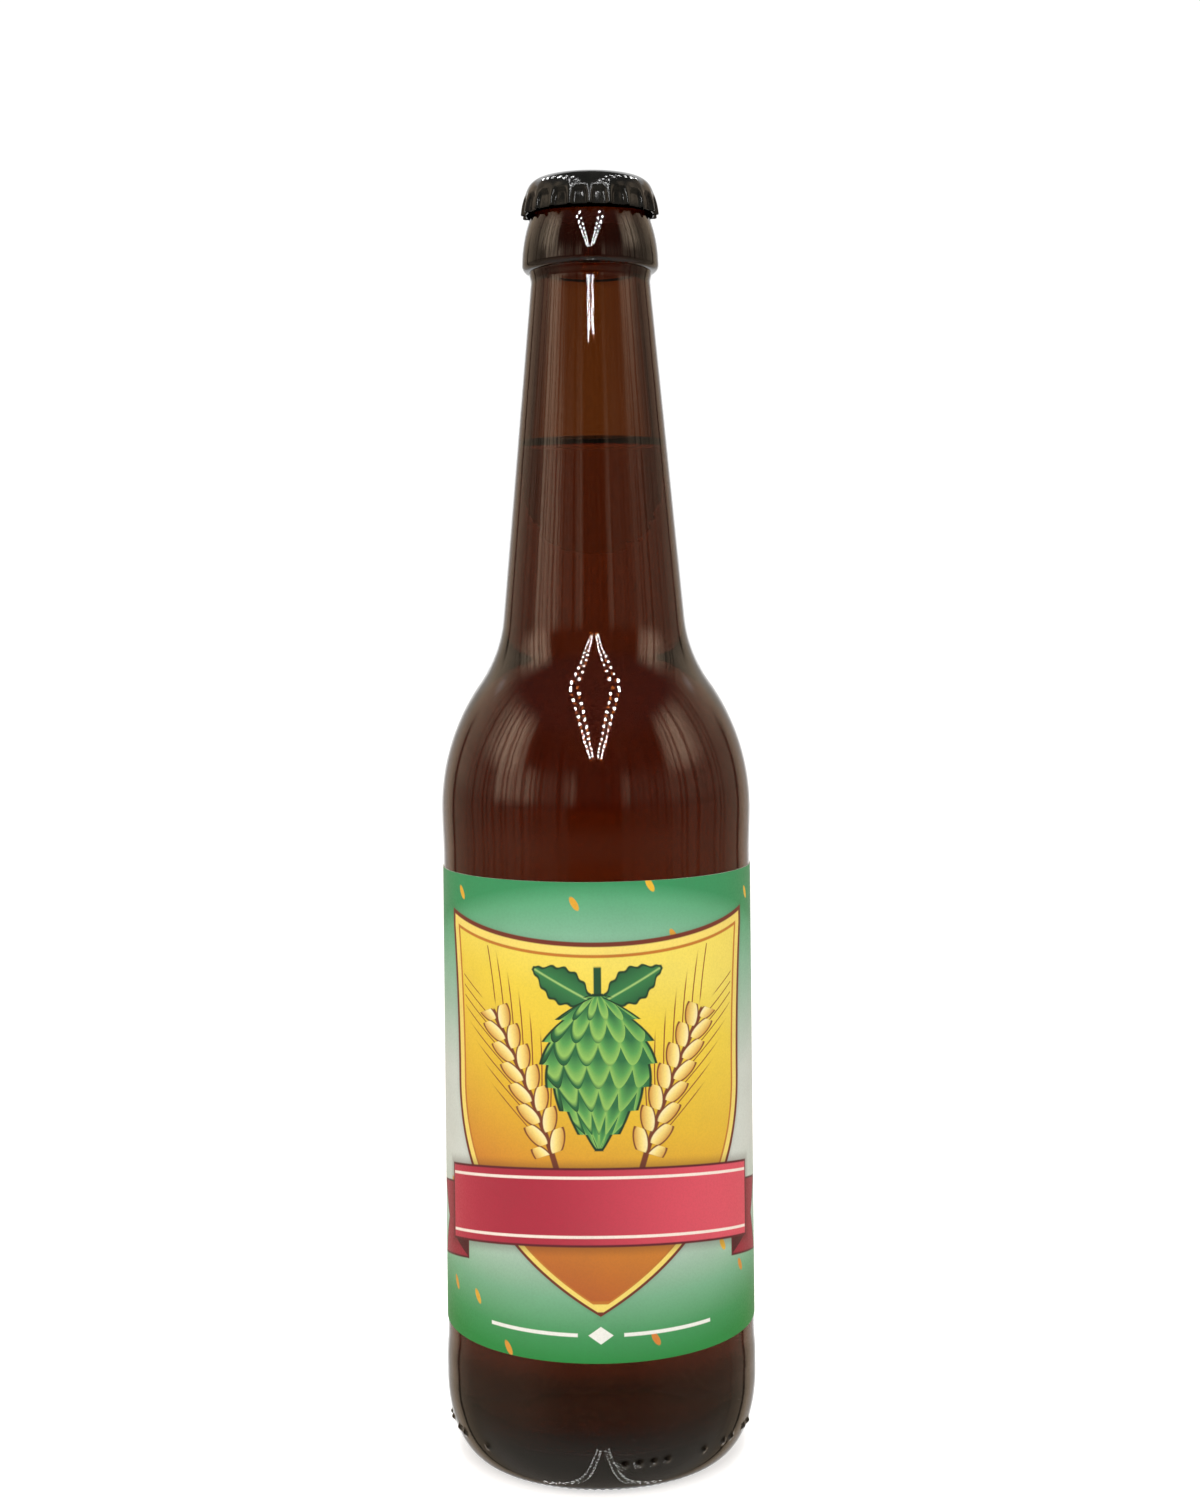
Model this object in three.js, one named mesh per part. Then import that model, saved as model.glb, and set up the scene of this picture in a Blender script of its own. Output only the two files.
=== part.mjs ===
// A shut bottle of beer: an amber glass bottle with a long tapered neck, filled to part way up the neck,
// closed by a crimped crown cap and dressed with one paper label that wraps three quarters of the body.
// Millimetres, +Z up. The origin is the middle of the base, on the surface that the bottle stands on, and
// the middle of the label faces -Y.
import * as THREE from 'three';

// Facets round the axis of the bottle and the beer. The label's facets are the same ones.
const TURN_FACETS = 40;

// Glass body: a label panel recessed between two contact bands, on a drawn-in heel
const BAND_RADIUS = 31.95;
const PANEL_RADIUS = 31.68;
const HEEL_INSET = 6.7;
const HEEL_RISE = 15.3;
const LOWER_BAND_TOP = 18.6;
const PANEL_RAMP_BELOW = 6.0;
const PANEL_RAMP_ABOVE = 10.0;
const BEARING_RADIUS = BAND_RADIUS - HEEL_INSET;
const BEARING_WIDTH = 2.6;
const PUSH_UP = 4.0;

// Glass shoulder and neck: a convex arc, a concave arc and a straight cone, each tangent to the next
const SHOULDER_START = 131.4;
const SHOULDER_ARC = 44.5;
const NECK_ARC = 27.1;
const NECK_TOP_RADIUS = 12.37;
const NECK_TOP = 240.1;
const NECK_TAPER = THREE.MathUtils.degToRad(5.27);

// Glass finish at the mouth: a bulged collar, a groove and the bead that the cap grips
const COLLAR_BOTTOM = 242.1;
const COLLAR_RADIUS = 14.2;
const COLLAR_EDGE_ARC = 1.5;
const COLLAR_FACE_ARC = 28.0;
const COLLAR_TOP = 254.2;
const GROOVE_TOP = 254.9;
const BEAD_RADIUS = 12.85;
const BEAD_HEIGHT = 256.6;
const LIP_RADIUS = 10.4;
const LIP_HEIGHT = 260.9;
const MOUTH_RADIUS = 8.3;
const MOUTH_ROUND = 1.1;

// Glass thickness
const BODY_WALL = 2.6;
const NECK_WALL = 2.9;
const BASE_THICKNESS = 6.2;
const INNER_CORNER_WIDTH = 8.0;
const INNER_CORNER_RISE = 10.0;
const INNER_DOME = 2.2;

// Beer, a hair clear of the glass
const FILL_LEVEL = 205.0;
const BEER_GAP = 0.12;

// Paper label, centred on the front
const LABEL_BOTTOM = 27.0;
const LABEL_TOP = 119.6;
const LABEL_THICKNESS = 0.15;
const LABEL_GAP = 0.05;
const LABEL_FACETS_EACH_SIDE = 15;

// Crown cap: 21 ridges round a skirt that flares from a rounded shoulder and bulges a little on its way down
const CAP_RIDGES = 21;
const CAP_FACETS_PER_RIDGE = 5;
const CAP_TOP = 261.4;
const CAP_HEIGHT = 7.4;
const CAP_FLAT_RADIUS = 10.0;
const CAP_CORNER_ARC = 3.2;
const CAP_FLARE = THREE.MathUtils.degToRad(22);
const CAP_RIM_RADIUS = 14.4;
const CAP_SKIRT_BULGE = 0.25;
const CAP_SHEET = 0.28;
const CAP_VALLEY_DEPTH = 0.95;
const CAP_SKIRT_RINGS = [0.25, 0.5, 0.75];

// Straight steps that each curve is drawn with
const BASE_STEPS = 4;
const HEEL_STEPS = 8;
const PANEL_RAMP_STEPS = 3;
const SHOULDER_STEPS = 9;
const NECK_ARC_STEPS = 6;
const COLLAR_STEPS = 4;
const BEAD_STEPS = 2;
const LIP_STEPS = 5;
const MOUTH_STEPS = 3;
const INNER_DOME_STEPS = 3;
const INNER_CORNER_STEPS = 6;
const CAP_CORNER_STEPS = 3;

// Points along an elliptical arc in the plane of radius (x) and height (y), both ends included.
function arc(centreRadius, centreHeight, alongRadius, alongHeight, startDegrees, endDegrees, steps) {
  const points = [];
  for (let step = 0; step <= steps; step += 1) {
    const turn = THREE.MathUtils.degToRad(startDegrees + (endDegrees - startDegrees) * (step / steps));
    points.push(new THREE.Vector2(
      centreRadius + alongRadius * Math.cos(turn),
      centreHeight + alongHeight * Math.sin(turn),
    ));
  }
  return points;
}

// An S-shaped ramp from one radius and height to another, both ends included.
function ramp(fromRadius, fromHeight, toRadius, toHeight, steps) {
  const points = [];
  for (let step = 0; step <= steps; step += 1) {
    const share = step / steps;
    points.push(new THREE.Vector2(
      THREE.MathUtils.lerp(fromRadius, toRadius, THREE.MathUtils.smoothstep(share, 0, 1)),
      THREE.MathUtils.lerp(fromHeight, toHeight, share),
    ));
  }
  return points;
}

// A dome over the axis: its crown stands on the axis, and it falls by a parabola to the given radius.
function dome(crownHeight, edgeRadius, edgeHeight, steps) {
  const points = [];
  for (let step = 0; step <= steps; step += 1) {
    const share = step / steps;
    points.push(new THREE.Vector2(
      edgeRadius * share,
      THREE.MathUtils.lerp(crownHeight, edgeHeight, share * share),
    ));
  }
  return points;
}

// Shoulder and neck from the vertical body wall up. The concave arc touches the convex one from outside
// and the neck's straight side from its outer side, which fixes where the cone starts.
function shoulderAndNeck(bodyRadius, neckTopRadius, convexArc, concaveArc) {
  const convexCentre = new THREE.Vector2(bodyRadius - convexArc, SHOULDER_START);
  const neckTop = new THREE.Vector2(neckTopRadius, NECK_TOP);
  const downNeck = new THREE.Vector2(Math.sin(NECK_TAPER), -Math.cos(NECK_TAPER));
  const outOfNeck = new THREE.Vector2(Math.cos(NECK_TAPER), Math.sin(NECK_TAPER));

  const toNeckSide = neckTop.clone().addScaledVector(outOfNeck, concaveArc).sub(convexCentre);
  const along = toNeckSide.dot(downNeck);
  const spare = toNeckSide.lengthSq() - (convexArc + concaveArc) ** 2;
  const neckLength = -along - Math.sqrt(along * along - spare);
  const concaveCentre = neckTop.clone()
    .addScaledVector(downNeck, neckLength)
    .addScaledVector(outOfNeck, concaveArc);

  const betweenCentres = concaveCentre.clone().sub(convexCentre);
  const joinDegrees = THREE.MathUtils.radToDeg(betweenCentres.angle());
  const coneDegrees = 180 + THREE.MathUtils.radToDeg(NECK_TAPER);
  const convex = arc(convexCentre.x, convexCentre.y, convexArc, convexArc, 0, joinDegrees, SHOULDER_STEPS);
  const concave = arc(
    concaveCentre.x, concaveCentre.y, concaveArc, concaveArc, 180 + joinDegrees, coneDegrees, NECK_ARC_STEPS,
  );
  return [...convex, ...concave.slice(1), neckTop];
}

// The inside of the glass, drawn in by a gap, from the middle of its floor up to the top of the neck.
function insideOfGlass(gap) {
  const radius = BAND_RADIUS - BODY_WALL - gap;
  const floor = BASE_THICKNESS + gap;
  const corner = arc(
    radius - INNER_CORNER_WIDTH, floor + INNER_CORNER_RISE,
    INNER_CORNER_WIDTH, INNER_CORNER_RISE, -90, 0, INNER_CORNER_STEPS,
  );
  const neckTopRadius = NECK_TOP_RADIUS - (NECK_WALL + gap) / Math.cos(NECK_TAPER);
  return [
    ...dome(floor + INNER_DOME, radius - INNER_CORNER_WIDTH, floor, INNER_DOME_STEPS),
    ...corner.slice(1),
    ...shoulderAndNeck(radius, neckTopRadius, SHOULDER_ARC - BODY_WALL - gap, NECK_ARC + NECK_WALL + gap),
  ];
}

// Turns a closed profile of radius and height round the upright axis, with its first facet edge at -Y.
function turned(profile, facets) {
  return new THREE.LatheGeometry(profile, facets).rotateX(Math.PI / 2);
}

function bottleGeometry() {
  const base = dome(PUSH_UP, BEARING_RADIUS - BEARING_WIDTH, 0, BASE_STEPS);
  const heel = arc(BEARING_RADIUS, HEEL_RISE, HEEL_INSET, HEEL_RISE, -90, 0, HEEL_STEPS);
  const panelBottom = LOWER_BAND_TOP + PANEL_RAMP_BELOW;
  const panelTop = SHOULDER_START - PANEL_RAMP_ABOVE;
  const rampIn = ramp(BAND_RADIUS, LOWER_BAND_TOP, PANEL_RADIUS, panelBottom, PANEL_RAMP_STEPS);
  const rampOut = ramp(PANEL_RADIUS, panelTop, BAND_RADIUS, SHOULDER_START, PANEL_RAMP_STEPS);
  const shoulder = shoulderAndNeck(BAND_RADIUS, NECK_TOP_RADIUS, SHOULDER_ARC, NECK_ARC);

  const edgeHeight = COLLAR_BOTTOM + COLLAR_EDGE_ARC;
  const faceAngle = THREE.MathUtils.radToDeg(Math.asin((COLLAR_TOP - edgeHeight) / COLLAR_FACE_ARC));
  const collarEdge = arc(
    COLLAR_RADIUS - COLLAR_EDGE_ARC, edgeHeight, COLLAR_EDGE_ARC, COLLAR_EDGE_ARC, -90, 0, COLLAR_STEPS,
  );
  const collarFace = arc(
    COLLAR_RADIUS - COLLAR_FACE_ARC, edgeHeight, COLLAR_FACE_ARC, COLLAR_FACE_ARC, 0, faceAngle, COLLAR_STEPS,
  );
  const grooveRadius = collarFace.at(-1).x;
  const bead = ramp(grooveRadius, GROOVE_TOP, BEAD_RADIUS, BEAD_HEIGHT, BEAD_STEPS);
  const lip = arc(
    LIP_RADIUS, BEAD_HEIGHT, BEAD_RADIUS - LIP_RADIUS, LIP_HEIGHT - BEAD_HEIGHT, 0, 90, LIP_STEPS,
  );
  const mouth = arc(
    MOUTH_RADIUS + MOUTH_ROUND, LIP_HEIGHT - MOUTH_ROUND, MOUTH_ROUND, MOUTH_ROUND, 90, 180, MOUTH_STEPS,
  );

  const inside = insideOfGlass(0).reverse();
  const neckTopInside = inside[0].x;
  const boreBottom = NECK_TOP + (neckTopInside - MOUTH_RADIUS) / Math.tan(NECK_TAPER);
  return turned([
    ...base,
    ...heel,
    ...rampIn,
    ...rampOut.slice(0, -1),
    ...shoulder,
    ...collarEdge,
    ...collarFace.slice(1),
    ...bead,
    ...lip.slice(1),
    ...mouth,
    new THREE.Vector2(MOUTH_RADIUS, boreBottom),
    ...inside.slice(1),
  ], TURN_FACETS);
}

function beerGeometry() {
  const inside = insideOfGlass(BEER_GAP);
  const neckTop = inside.at(-1);
  const surfaceRadius = neckTop.x + (NECK_TOP - FILL_LEVEL) * Math.tan(NECK_TAPER);
  return turned([
    ...inside.slice(0, -1),
    new THREE.Vector2(surfaceRadius, FILL_LEVEL),
    new THREE.Vector2(0, FILL_LEVEL),
  ], TURN_FACETS);
}

// A band of paper cut across its thickness, facet by facet from its left end to its right end, and drawn up
// to the label's height.
function labelGeometry() {
  const facetAngle = (2 * Math.PI) / TURN_FACETS;
  const frontAngle = -Math.PI / 2;
  const innerRadius = PANEL_RADIUS + LABEL_GAP;
  const outerRadius = innerRadius + LABEL_THICKNESS;
  const outer = [];
  const inner = [];
  for (let facet = -LABEL_FACETS_EACH_SIDE; facet <= LABEL_FACETS_EACH_SIDE; facet += 1) {
    const angle = frontAngle + facet * facetAngle;
    outer.push(new THREE.Vector2(outerRadius * Math.cos(angle), outerRadius * Math.sin(angle)));
    inner.push(new THREE.Vector2(innerRadius * Math.cos(angle), innerRadius * Math.sin(angle)));
  }
  const band = new THREE.Shape([...outer, ...inner.reverse()]);
  return new THREE.ExtrudeGeometry(band, { depth: LABEL_TOP - LABEL_BOTTOM, bevelEnabled: false })
    .translate(0, 0, LABEL_BOTTOM);
}

// How deep the valleys between the ridges are at a height, as a share of their depth at the rim.
function valleyShare(height) {
  const skirtTop = CAP_TOP - CAP_CORNER_ARC;
  return THREE.MathUtils.smoothstep(skirtTop - height, 0, CAP_HEIGHT - CAP_CORNER_ARC);
}

// The cap is turned as a plain flared cup of sheet steel, then its skirt is pressed in between the ridges.
function capGeometry() {
  const rim = CAP_TOP - CAP_HEIGHT;
  const flareDegrees = THREE.MathUtils.radToDeg(CAP_FLARE);
  const cornerHeight = CAP_TOP - CAP_CORNER_ARC;
  const innerArc = CAP_CORNER_ARC - CAP_SHEET;
  const outerCorner = arc(
    CAP_FLAT_RADIUS, cornerHeight, CAP_CORNER_ARC, CAP_CORNER_ARC, flareDegrees, 90, CAP_CORNER_STEPS,
  );
  const innerCorner = arc(
    CAP_FLAT_RADIUS, cornerHeight, innerArc, innerArc, 90, flareDegrees, CAP_CORNER_STEPS,
  );
  const sheetAcross = CAP_SHEET / Math.cos(CAP_FLARE);
  const skirtTop = outerCorner[0];
  const bulge = (share) => CAP_SKIRT_BULGE * 4 * share * (1 - share);
  const skirtPoint = (share, inset) => new THREE.Vector2(
    THREE.MathUtils.lerp(CAP_RIM_RADIUS, skirtTop.x, share) + bulge(share) - inset,
    THREE.MathUtils.lerp(rim, skirtTop.y, share),
  );
  const profile = [
    new THREE.Vector2(0, CAP_TOP - CAP_SHEET),
    ...innerCorner,
    ...CAP_SKIRT_RINGS.toReversed().map((share) => skirtPoint(share, sheetAcross)),
    new THREE.Vector2(CAP_RIM_RADIUS - sheetAcross, rim),
    new THREE.Vector2(CAP_RIM_RADIUS, rim),
    ...CAP_SKIRT_RINGS.map((share) => skirtPoint(share, 0)),
    ...outerCorner,
    new THREE.Vector2(0, CAP_TOP),
  ];
  const geometry = turned(profile, CAP_RIDGES * CAP_FACETS_PER_RIDGE);

  const position = geometry.getAttribute('position');
  const point = new THREE.Vector3();
  for (let index = 0; index < position.count; index += 1) {
    point.fromBufferAttribute(position, index);
    const radius = Math.hypot(point.x, point.y);
    if (radius > CAP_FLAT_RADIUS) {
      const ridgePhase = CAP_RIDGES * Math.atan2(point.x, -point.y);
      const valley = (1 - Math.cos(ridgePhase)) / 2;
      const pressed = radius - CAP_VALLEY_DEPTH * valley * valleyShare(point.z);
      position.setXY(index, point.x * (pressed / radius), point.y * (pressed / radius));
    }
  }
  geometry.computeVertexNormals();
  return geometry;
}

const amberGlass = new THREE.MeshStandardMaterial({ color: 0x4a1c0b, roughness: 0.05, metalness: 0 });
const beer = new THREE.MeshStandardMaterial({ color: 0x8a4312, roughness: 0.05, metalness: 0 });
const blackLacquer = new THREE.MeshStandardMaterial({ color: 0x20201e, roughness: 0.3, metalness: 0.2 });
const labelPaper = new THREE.MeshStandardMaterial({ color: 0x5fa97c, roughness: 0.55, metalness: 0 });

function piece(name, geometry, material) {
  const mesh = new THREE.Mesh(geometry, material);
  mesh.name = name;
  return mesh;
}

const beerBottle = new THREE.Group();
beerBottle.add(
  piece('bottle', bottleGeometry(), amberGlass),
  piece('beer', beerGeometry(), beer),
  piece('label', labelGeometry(), labelPaper),
  piece('crown_cap', capGeometry(), blackLacquer),
);

export default beerBottle;
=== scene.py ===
import math

import bpy
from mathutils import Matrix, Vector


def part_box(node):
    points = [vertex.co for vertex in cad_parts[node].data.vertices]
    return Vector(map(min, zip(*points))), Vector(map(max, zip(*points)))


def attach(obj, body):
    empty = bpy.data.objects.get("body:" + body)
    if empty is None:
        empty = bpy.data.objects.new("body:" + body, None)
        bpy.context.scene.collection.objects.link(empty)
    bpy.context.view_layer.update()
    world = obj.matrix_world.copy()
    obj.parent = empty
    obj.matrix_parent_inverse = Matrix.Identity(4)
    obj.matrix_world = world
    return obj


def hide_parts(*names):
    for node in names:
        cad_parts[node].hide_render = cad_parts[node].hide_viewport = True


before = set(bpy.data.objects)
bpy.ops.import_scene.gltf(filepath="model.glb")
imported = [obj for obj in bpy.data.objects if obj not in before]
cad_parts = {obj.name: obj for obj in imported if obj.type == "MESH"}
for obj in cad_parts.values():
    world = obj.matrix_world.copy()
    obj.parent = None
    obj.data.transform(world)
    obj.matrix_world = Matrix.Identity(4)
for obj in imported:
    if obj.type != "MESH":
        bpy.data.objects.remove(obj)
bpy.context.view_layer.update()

MM = 0.001
FRAME_WIDTH_PX = 1200
FRAME_HEIGHT_PX = 1499
FOCAL_PX = 2008.7
EYE_LEVEL_PX = 618.4
BOTTLE_AXIS_PX = 594.0
EYE_DISTANCE_MM = 418.0
EYE_HEIGHT_MM = 170.3
LEAN_DEG = 0.6
SENSOR_MM = 36.0
NEAREST_SEEN_MM = 10.0

lens = bpy.data.cameras.new("lens")
lens.sensor_width = SENSOR_MM
lens.lens = SENSOR_MM * FOCAL_PX / FRAME_HEIGHT_PX
lens.shift_y = (EYE_LEVEL_PX - FRAME_HEIGHT_PX / 2) / FRAME_HEIGHT_PX
lens.clip_start = NEAREST_SEEN_MM * MM
eye = bpy.data.objects.new("eye", lens)
eye_right_mm = (FRAME_WIDTH_PX / 2 - BOTTLE_AXIS_PX) * EYE_DISTANCE_MM / FOCAL_PX
eye.location = (eye_right_mm * MM, -EYE_DISTANCE_MM * MM, EYE_HEIGHT_MM * MM)
eye.rotation_euler = (math.radians(90), math.radians(LEAN_DEG), 0)
bpy.context.collection.objects.link(eye)
bpy.context.scene.camera = eye
bpy.context.scene.view_settings.view_transform = "Standard"


# The studio
# A small white light tent: a bright back, paler walls of folded cloth at the left and right, a dim front,
# two strips of lamps under the roof and a white floor. Behind the bottle only plain white is seen.
from mathutils import Vector


def grey(level):
    return (level, level, level, 1.0)


class Amount:
    """A number that varies over a surface, worked out by nodes. It takes part in sums as a number does."""

    def __init__(self, tree, socket):
        self.tree = tree
        self.socket = socket

    def work(self, operation, *others):
        node = self.tree.nodes.new("ShaderNodeMath")
        node.operation = operation
        for place, term in zip(node.inputs, (self, *others)):
            feed(self.tree, place, term)
        return Amount(self.tree, node.outputs[0])

    def __add__(self, other):
        return self.work("ADD", other)

    def __sub__(self, other):
        return self.work("SUBTRACT", other)

    def __rsub__(self, other):
        return self.work("MULTIPLY", -1.0) + other

    def __mul__(self, other):
        return self.work("MULTIPLY", other)

    def __truediv__(self, other):
        return self.work("DIVIDE", other)

    def __pow__(self, other):
        return self.work("POWER", other)

    def __neg__(self):
        return self.work("MULTIPLY", -1.0)

    def __abs__(self):
        return self.work("ABSOLUTE")

    def ramp(self, low, high, start=0.0, end=1.0):
        """A smooth step from start, where the amount is low, to end, where it is high."""
        node = self.tree.nodes.new("ShaderNodeMapRange")
        node.interpolation_type = "SMOOTHSTEP"
        feed(self.tree, node.inputs["Value"], self)
        for name, value in (("From Min", low), ("From Max", high), ("To Min", start), ("To Max", end)):
            node.inputs[name].default_value = value
        return Amount(self.tree, node.outputs["Result"])

    def colours(self, *stops):
        """A run of colours along the amount, from stops of (amount, colour) between 0 and 1."""
        node = self.tree.nodes.new("ShaderNodeValToRGB")
        feed(self.tree, node.inputs["Fac"], self)
        while len(node.color_ramp.elements) < len(stops):
            node.color_ramp.elements.new(1.0)
        for element, (place, colour) in zip(node.color_ramp.elements, stops):
            element.position = place
            element.color = colour
        return node.outputs["Color"]


def feed(tree, place, term):
    """Gives a node's socket an amount, another socket or a fixed value."""
    if isinstance(term, Amount):
        tree.links.new(term.socket, place)
    elif isinstance(term, bpy.types.NodeSocket):
        tree.links.new(term, place)
    else:
        place.default_value = term


def directions(tree, source):
    """The three parts of a node's vector output."""
    node = tree.nodes.new("ShaderNodeSeparateXYZ")
    tree.links.new(source, node.inputs[0])
    return [Amount(tree, part) for part in node.outputs]


def blend(tree, share, first, second):
    """Two colours mixed, from the first to the second as the share goes from 0 to 1."""
    node = tree.nodes.new("ShaderNodeMix")
    node.data_type = "RGBA"
    places = {place.identifier: place for place in node.inputs}
    feed(tree, places["Factor_Float"], share)
    feed(tree, places["A_Color"], first)
    feed(tree, places["B_Color"], second)
    return next(result for result in node.outputs if result.identifier == "Result_Color")


def new_look(name, fixed):
    """A material with its node tree and its shader, whose named sockets take fixed values."""
    material = bpy.data.materials.new(name)
    material.use_nodes = True
    shader = material.node_tree.nodes["Principled BSDF"]
    for socket, value in fixed.items():
        shader.inputs[socket].default_value = value
    return material, material.node_tree, shader


tent = bpy.data.worlds.new("tent")
tent.use_nodes = True
tent_tree = tent.node_tree
tent_light = tent_tree.nodes["Background"]
looking = tent_tree.nodes.new("ShaderNodeTexCoord")
look_x, look_y, look_z = directions(tent_tree, looking.outputs["Generated"])
turn_share = look_x.work("ARCTAN2", look_y * -1.0) / (2 * math.pi) + 0.5

WARM = (1.08, 0.84, 0.61)
WHITE_FROM_DEG = 140.0
WHITE_AT_DEG = 165.0


def by_bearing(*levels):
    """Shades of cloth round the tent, from pairs of a bearing and a level. Bearings are in degrees from the
    front, to the right positive. The cloth is warm at the front and the sides and white at the back."""
    stops = []
    for degrees, level in levels:
        white = min(max((abs(degrees) - WHITE_FROM_DEG) / (WHITE_AT_DEG - WHITE_FROM_DEG), 0), 1)
        cloth = [level * (part + (1 - part) * white) for part in WARM]
        stops.append((0.5 + degrees / 360, (*cloth, 1.0)))
    return turn_share.colours(*stops)


def mirrored(levels):
    """The same shades on the other side of the tent."""
    return [(-degrees, level) for degrees, level in reversed(levels)]


# Walls: a white back, dark gaps at its corners, and patches of lit cloth at the left and right
BACK = ((-180, 1.04), (-163, 1.06))
GAP = ((-134, 0.5), (-131.6, 0.05), (-130.2, 0.05))
eye_walls = by_bearing(
    *BACK, (-157, 0.62), (-148, 0.68), (-140, 0.65), *GAP, (-128, 0.4), (-82, 0.34), (-60, 0.34), (-44, 0.24),
    (-20, 0.14), (-18, 0.02), (18, 0.02), (20, 0.14), (48, 0.2), (70, 0.36), (128, 0.4), *mirrored(GAP),
    (140, 0.65), (148, 0.68), (157, 0.62), *mirrored(BACK))
low_walls = by_bearing(
    *BACK, (-157, 0.62), (-140, 0.65), *GAP, (-128, 0.66), (-84, 0.45), (-77, 2.1), (-64, 1.6), (-50, 1.45),
    (-42, 0.55), (-24, 0.3), (-19.5, 1.0), (-16, 0.9), (-13, 0.12), (17, 0.12), (23.5, 0.85), (27, 0.36),
    (48, 0.3), (58, 0.58), (78, 0.58), (88, 0.5), (128, 0.45), *mirrored(GAP), (140, 0.65), (157, 0.62),
    *mirrored(BACK))
high_walls = by_bearing(
    *BACK, (-157, 0.8), (-140, 0.86), (-120, 0.8), (-102, 0.8), (-88, 2.0), (-78, 3.1), (-66, 2.7),
    (-54, 0.12), (54, 0.12), (66, 2.3), (78, 2.5), (88, 1.7), (100, 0.65), (120, 0.7), (140, 0.82),
    (157, 0.8), *mirrored(BACK))
far_floor = by_bearing((-120, 0.35), (-60, 0.44), (-25, 0.2), (25, 0.2), (60, 0.36), (120, 0.35))

# Where they meet: a rise is how far up a look points and a depth how far back, each from -1 to 1
LOW_WALL_RISE = (-0.02, 0.12)
HIGH_WALL_RISE = (0.20, 0.40)
ROOF_RISE = (0.55, 0.74)
BACK_TOP_RISE = (0.46, 0.60)
BACK_TOP_DEPTH = (0.40, 0.55)
FRONT_DEPTH = (0.5, 0.1)
FAR_FLOOR_RISE = (-0.10, -0.26)
NEAR_FLOOR_RISE = (-0.30, -0.78)
BACKDROP_LEVEL = 1.04
ROOF_LEVEL = 0.10
BACK_TOP_LEVEL = 2.0
NEAR_FLOOR = (0.57, 0.51, 0.44, 1.0)
FOLDS_TO_TURN = 100.0
FOLD_DETAIL = 2.0
FOLD_EDGES = (0.45, 0.62)
FOLD_DEPTH = (0.5, 0.2)
FOLD_SHADE = 0.6
walls = blend(tent_tree, look_z.ramp(*LOW_WALL_RISE), eye_walls, low_walls)
walls = blend(tent_tree, look_z.ramp(*HIGH_WALL_RISE), walls, high_walls)
folds = tent_tree.nodes.new("ShaderNodeTexNoise")
folds.noise_dimensions = "1D"
folds.inputs["Scale"].default_value = FOLDS_TO_TURN
folds.inputs["Detail"].default_value = FOLD_DETAIL
feed(tent_tree, folds.inputs["W"], turn_share)
in_fold = Amount(tent_tree, folds.outputs["Fac"]).ramp(*FOLD_EDGES)
walls = blend(tent_tree, in_fold * look_y.ramp(*FOLD_DEPTH) * FOLD_SHADE, walls, grey(0.0))
walls = blend(tent_tree, look_z.ramp(*ROOF_RISE), walls, grey(ROOF_LEVEL))
back_top_share = look_z.ramp(*BACK_TOP_RISE) * look_y.ramp(*BACK_TOP_DEPTH)
walls = blend(tent_tree, back_top_share, walls, grey(BACK_TOP_LEVEL))
front_share = look_y.ramp(*FRONT_DEPTH)
walls = blend(tent_tree, front_share * look_z.ramp(*FAR_FLOOR_RISE), walls, far_floor)
walls = blend(tent_tree, front_share * look_z.ramp(*NEAR_FLOOR_RISE), walls, NEAR_FLOOR)
seen_by = tent_tree.nodes.new("ShaderNodeLightPath")
walls = blend(tent_tree, seen_by.outputs["Is Camera Ray"], walls, grey(BACKDROP_LEVEL))
feed(tent_tree, tent_light.inputs["Color"], walls)
bpy.context.scene.world = tent

# Lamps: a bent strip of two rows on each side, with the polished floor's mirror image of them below it
LAMP_HEIGHT_MM = 405.0
LAMP_RUNS_MM = (((140.0, 115.0), (78.0, -58.0)), ((78.0, -58.0), (30.0, -545.0)))
LAMP_PITCH_MM = 38.0
LAMP_ROW_MM = 26.0
LAMP_SIZE_MM = 11.0
LAMP_POWER = 0.019
LAMP_AIM_MM = 200.0
MIRROR_SHARE = 0.22


def lamp(right, depth, up, power):
    """One small round lamp, aimed at the bottle."""
    light = bpy.data.lights.new("lamp", "AREA")
    light.shape = "DISK"
    light.size = LAMP_SIZE_MM * MM
    light.energy = power
    bulb = bpy.data.objects.new("lamp", light)
    place = Vector((right, depth, up))
    bulb.location = place * MM
    bulb.rotation_euler = (Vector((0, 0, LAMP_AIM_MM)) - place).to_track_quat("-Z", "Y").to_euler()
    bpy.context.collection.objects.link(bulb)


for (start_x, start_y), (end_x, end_y) in LAMP_RUNS_MM:
    run_length = math.hypot(end_x - start_x, end_y - start_y)
    run_lamps = round(run_length / LAMP_PITCH_MM)
    for step in range(run_lamps):
        for row in (-0.5, 0.5):
            along_run = (step + 0.5 + row / 2) / run_lamps
            lamp_x = start_x + (end_x - start_x) * along_run + row * LAMP_ROW_MM
            lamp_y = start_y + (end_y - start_y) * along_run
            for hand in (-1, 1):
                lamp(hand * lamp_x, lamp_y, LAMP_HEIGHT_MM, LAMP_POWER)
                lamp(hand * lamp_x, lamp_y, -LAMP_HEIGHT_MM, LAMP_POWER * MIRROR_SHARE)

ROOF_CLOTH_MM = 460.0
ROOF_CLOTH_PLACE_MM = (0.0, -260.0, 440.0)
ROOF_CLOTH_POWER = 0.3
cloth_light = bpy.data.lights.new("roof_cloth", "AREA")
cloth_light.size = ROOF_CLOTH_MM * MM
cloth_light.energy = ROOF_CLOTH_POWER
roof_cloth = bpy.data.objects.new("roof_cloth", cloth_light)
roof_cloth.location = [part * MM for part in ROOF_CLOTH_PLACE_MM]
roof_cloth.visible_glossy = False
bpy.context.collection.objects.link(roof_cloth)

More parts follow.
